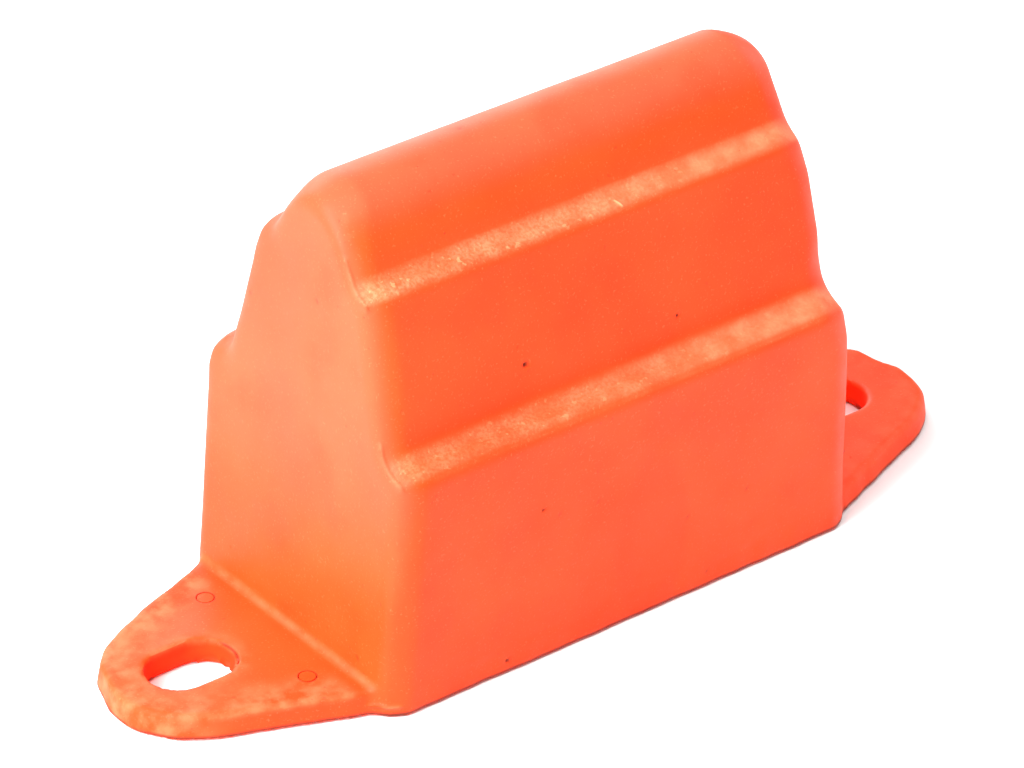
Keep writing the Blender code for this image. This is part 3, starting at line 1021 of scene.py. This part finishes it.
def worn_elastomer():
    """The moulding's skin: granular pale ledges, rubbed ears, dark air pits, with painted shade,
    highlights, a reflection and a contact shadow.
    """
    material, tree, shader = new_material("orange_elastomer")
    drift = remap(tree, noise_texture(tree, 38.0, 4.0), 0.35, 0.65, 0.0, 1.0)
    color = blend_colors(tree, drift, SKIN_DEEP, SKIN_BASE)

    blotches = remap(tree, noise_texture(tree, 260.0, 9.0), 0.38, 0.64, 0.0, 1.0)
    # Wear, and the painted highlight on the seam and the crown's left edge
    rubbed_and_highlight = calculate(tree, "MULTIPLY", stored(tree, "wear_and_highlight"), blotches)
    color = blend_colors(tree, rubbed_and_highlight, color, SKIN_RUBBED_AND_HIGHLIGHT)

    # Painted highlight on the upper left end face and the top of the crown
    color = blend_colors(tree, stored(tree, "painted_highlight"), color, SKIN_HIGHLIGHT)
    smudges = remap(tree, noise_texture(tree, 70.0, 7.0, 2.3), 0.54, 0.68, 0.0, 0.28)
    color = blend_colors(tree, smudges, color, SKIN_SMUDGE)

    granules = noise_texture(tree, 1500.0, 6.0, 0.7)
    ledge = stored(tree, "ledge")
    granular = calculate(tree, "MULTIPLY", ledge, stored(tree, "granular"))
    patches = remap(tree, noise_texture(tree, 170.0, 7.0, 0.3), 0.40, 0.60, 0.45, 1.0)
    hollows = remap(tree, granules, 0.38, 0.60, 0.6, 0.0)
    hollows = calculate(tree, "MULTIPLY", hollows, stored(tree, "granular"))
    filled = calculate(tree, "SUBTRACT", 1.0, hollows)
    # Pale dust with a painted highlight on the ledges
    dust_and_highlight_mix = calculate(tree, "MULTIPLY", calculate(tree, "MULTIPLY", ledge, patches), filled)
    color = blend_colors(tree, dust_and_highlight_mix, color, SKIN_DUST_AND_HIGHLIGHT)
    crumbs = remap(tree, noise_texture(tree, 800.0, 3.0, 1.1), 0.62, 0.68, 0.0, 0.55)
    color = blend_colors(tree, calculate(tree, "MULTIPLY", granular, crumbs), color, SKIN_SPECK)
    color = blend_colors(tree, stored(tree, "fibre"), color, SKIN_SPECK)

    grain = noise_texture(tree, 1900.0, 3.0)
    pale_specks = remap(tree, grain, 0.60, 0.74, 0.0, 0.35)
    color = blend_colors(tree, pale_specks, color, SKIN_DUST_AND_HIGHLIGHT)
    dirt_and_shadow = remap(tree, noise_texture(tree, 850.0, 2.0, 1.9), 0.70, 0.76, 0.0, 0.35)
    color = blend_colors(tree, dirt_and_shadow, color, SKIN_DIRT_AND_SHADOW)
    # Painted shade in the slots and the hollows above the ledges, and soil on the right ear
    color = blend_colors(tree, stored(tree, "shade"), color, SKIN_SHADE)
    # Painted reflection: the front darkens faintly in a patch
    faint = calculate(tree, "MULTIPLY", stored(tree, "painted_reflection"), REFLECTION_STRENGTH)
    color = blend_colors(tree, faint, color, SKIN_SHADE)
    # Dirt in the pits, split and plug rings, and the painted contact shadow along the foot
    color = blend_colors(tree, stored(tree, "dirt_and_shadow"), color, SKIN_DIRT_AND_SHADOW)
    link(tree, color, shader.inputs["Base Color"])

    normal = add_bump(tree, grain, 0.00004, 0.3)
    coarse = calculate(tree, "MULTIPLY", granules, granular)
    normal = add_bump(tree, coarse, 0.00030, 0.6, normal)
    scuffs = calculate(tree, "MULTIPLY", noise_texture(tree, 420.0, 4.0), stored(tree, "wear_and_highlight"))
    normal = add_bump(tree, scuffs, 0.00025, 0.5, normal)
    link(tree, normal, shader.inputs["Normal"])

    matte = calculate(tree, "MAXIMUM", ledge, stored(tree, "wear_and_highlight"))
    matte = calculate(tree, "MAXIMUM", matte, calculate(tree, "MULTIPLY", stored(tree, "shade"), 3.0))
    rougher = remap(tree, matte, 0.0, 3.0, 0.0, 0.42)
    gloss = remap(tree, noise_texture(tree, 120.0, 3.0), 0.3, 0.7, 0.43, 0.53)
    link(tree, calculate(tree, "ADD", gloss, rougher), shader.inputs["Roughness"])
    return material


def insert_steel():
    """Grit-blasted steel plate, uneven in tone and gloss."""
    material, tree, shader = new_material("insert_steel")
    shader.inputs["Metallic"].default_value = 1.0
    tone = remap(tree, noise_texture(tree, 90.0, 5.0), 0.35, 0.65, 0.0, 1.0)
    link(tree, blend_colors(tree, tone, STEEL_DARK, STEEL_BRIGHT), shader.inputs["Base Color"])
    grit = noise_texture(tree, 2600.0, 2.0)
    link(tree, add_bump(tree, grit, 0.00006, 0.5), shader.inputs["Normal"])
    link(tree, remap(tree, grit, 0.3, 0.7, 0.42, 0.62), shader.inputs["Roughness"])
    return material


# ------------------------------------------------------------------ lights, camera


def aim(thing, target):
    """Turn a light or camera towards a point."""
    direction = Vector(target) - thing.location
    thing.rotation_euler = direction.to_track_quat("-Z", "Y").to_euler()


# Name, azimuth and elevation in degrees, distance and side in metres, and power in watts
SOFTBOXES = (
    ("key_left", -90.0, 35.0, 1.3, 0.9, 46.0),
    ("fill_front", -45.0, 22.0, 1.7, 1.3, 6.5),
    ("sweep_back", 165.0, 25.0, 1.7, 1.3, 28.0),
    ("fill_right", 90.0, 22.0, 1.7, 1.3, 13.0),
    ("overhead", -20.0, 80.0, 1.7, 1.6, 20.0),
)
LIGHT_TARGET = Vector((0.0, 0.0, 0.05))


def bearing(azimuth, elevation):
    """Unit vector towards an azimuth, 0 being -Y and 90 +X, and an elevation, in radians."""
    return Vector((
        math.sin(azimuth) * math.cos(elevation),
        -math.cos(azimuth) * math.cos(elevation),
        math.sin(elevation),
    ))


def add_softbox(name, azimuth, elevation, distance, side, power):
    """A square area light that faces the object."""
    light = bpy.data.lights.new(name, "AREA")
    light.shape = "SQUARE"
    light.size = side
    light.energy = power
    lamp = bpy.data.objects.new(name, light)
    bpy.context.scene.collection.objects.link(lamp)
    towards = bearing(math.radians(azimuth), math.radians(elevation))
    lamp.location = LIGHT_TARGET + towards * distance
    aim(lamp, LIGHT_TARGET)


FLOOR_HALF_SIZE = 4.0
FLOOR_GAP = 0.0003
WORLD_STRENGTH = 0.3

CAMERA_AZIMUTH = math.radians(-39.26)
CAMERA_ELEVATION = math.radians(31.79)
CAMERA_ROLL = 0.0256
CAMERA_DISTANCE = 1.2086
CAMERA_LENS = 215.5
LOOK_AT = Vector((0.0, 0.0, 0.048))
FRAMING_RIGHT = -0.00376
FRAMING_UP = -0.00827


def add_camera():
    """The camera, from the left front and above, with the slight roll of a hand-held view."""
    back = bearing(CAMERA_AZIMUTH, CAMERA_ELEVATION)
    place = LOOK_AT + back * CAMERA_DISTANCE
    right = Vector((0.0, 0.0, 1.0)).cross(back).normalized()
    up = back.cross(right)
    tilted_right = right * math.cos(CAMERA_ROLL) + up * math.sin(CAMERA_ROLL)
    tilted_up = up * math.cos(CAMERA_ROLL) - right * math.sin(CAMERA_ROLL)
    aim_point = LOOK_AT + tilted_right * FRAMING_RIGHT + tilted_up * FRAMING_UP
    new_back = (place - aim_point).normalized()
    new_right = tilted_up.cross(new_back).normalized()
    new_up = new_back.cross(new_right)
    data = bpy.data.cameras.new("photo_camera")
    data.lens = CAMERA_LENS
    data.sensor_width = 36.0
    data.clip_start = 0.05
    data.clip_end = 20.0
    camera = bpy.data.objects.new("photo_camera", data)
    bpy.context.scene.collection.objects.link(camera)
    camera.matrix_world = Matrix((
        (new_right.x, new_up.x, new_back.x, place.x),
        (new_right.y, new_up.y, new_back.y, place.y),
        (new_right.z, new_up.z, new_back.z, place.z),
        (0.0, 0.0, 0.0, 1.0),
    ))
    bpy.context.scene.camera = camera


def add_floor():
    """A plain pale floor."""
    mesh = bpy.data.meshes.new("floor")
    size = FLOOR_HALF_SIZE
    corners = [(-size, -size, 0.0), (size, -size, 0.0), (size, size, 0.0), (-size, size, 0.0)]
    mesh.from_pydata(corners, [], [(0, 1, 2, 3)])
    floor = new_object("floor", mesh)
    floor.location.z = -FLOOR_GAP
    material, _, shader = new_material("floor_paper")
    shader.inputs["Base Color"].default_value = (*FLOOR_TONE, 1.0)
    shader.inputs["Roughness"].default_value = 0.9
    mesh.materials.append(material)


def add_world(strength):
    """Even white light from all round."""
    world = bpy.data.worlds.new("studio")
    world.use_nodes = True
    background = world.node_tree.nodes["Background"]
    background.inputs["Color"].default_value = (1.0, 1.0, 1.0, 1.0)
    background.inputs["Strength"].default_value = strength
    bpy.context.scene.world = world


# ---------------------------------------------------------------------- the scene

body = build_body()
body.data.materials.append(worn_elastomer())
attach(body, "root")
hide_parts("bump_body")

plug_material = elastomer("spacer_elastomer", SKIN_BASE, SKIN_DEEP, SKIN_RUBBED_AND_HIGHLIGHT, 0.5)
for name in PLUG_NODES + HIDDEN_PLUG_NODES:
    frame["nodes"][name].material_slots[0].material = plug_material
frame["nodes"]["insert_plate"].material_slots[0].material = insert_steel()

add_camera()
add_floor()
add_world(WORLD_STRENGTH)
for softbox in SOFTBOXES:
    add_softbox(*softbox)
bpy.context.scene.view_settings.view_transform = "Standard"
